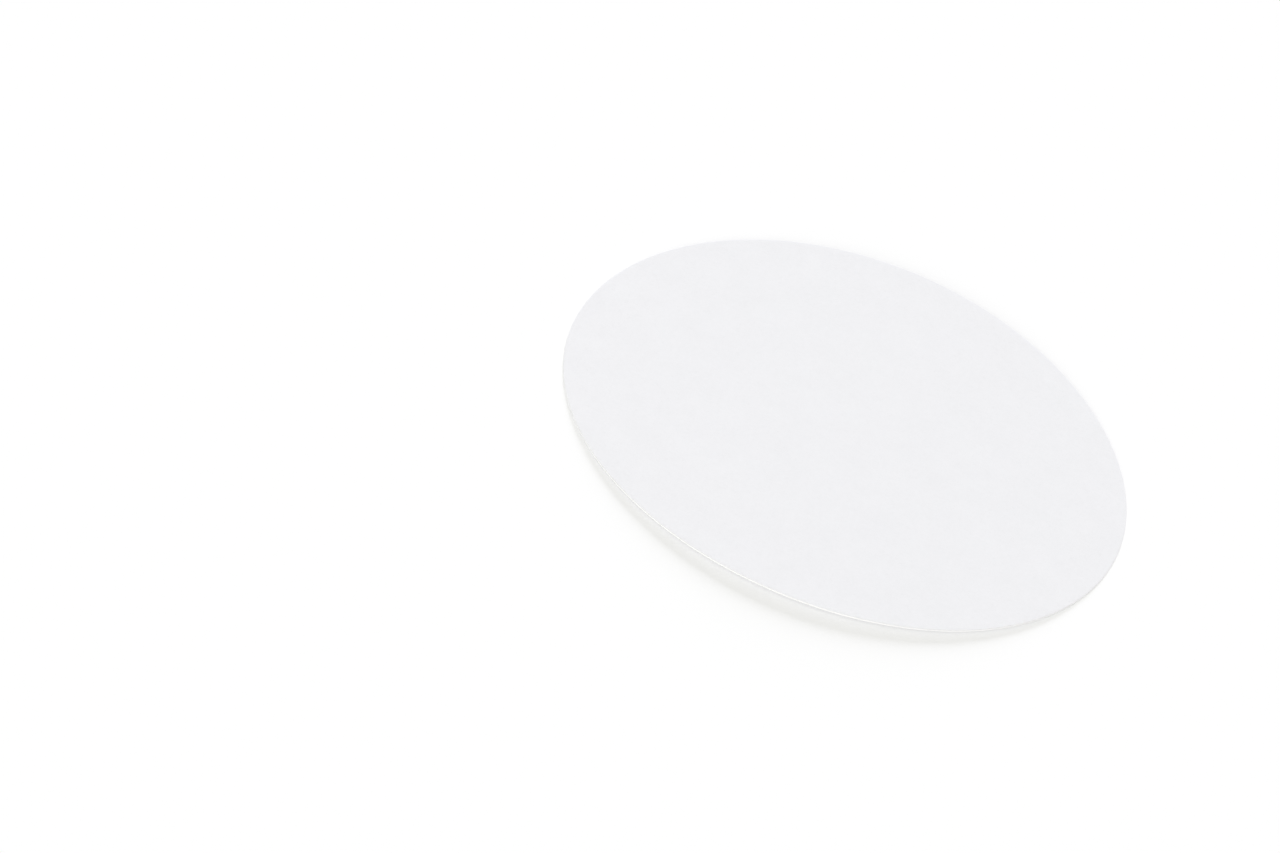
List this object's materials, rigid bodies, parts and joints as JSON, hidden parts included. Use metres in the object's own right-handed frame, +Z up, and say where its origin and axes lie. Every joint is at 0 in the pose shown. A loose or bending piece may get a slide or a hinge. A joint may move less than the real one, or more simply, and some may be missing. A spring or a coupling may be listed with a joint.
{
  "type": "filter paper disc",
  "caption": "Round disc of thin white filter paper with a clean cut rim, slightly curled, lying with the hollow side of its curl down.",
  "frame": {"origin": "on the surface that the disc rests on, straight below the middle of the disc", "axes": "+Z up, through the middle of the disc; X along the direction in which the sheet curls, with the two resting ends of the rim at -X and +X; Y along the straight direction of the sheet"},
  "size_m": [0.07, 0.07, 0.0012],
  "materials": {
    "filter_paper": "matte"
  },
  "bodies": {
    "root": {"filter_disc": "filter_paper"}
  },
  "joints": []
}
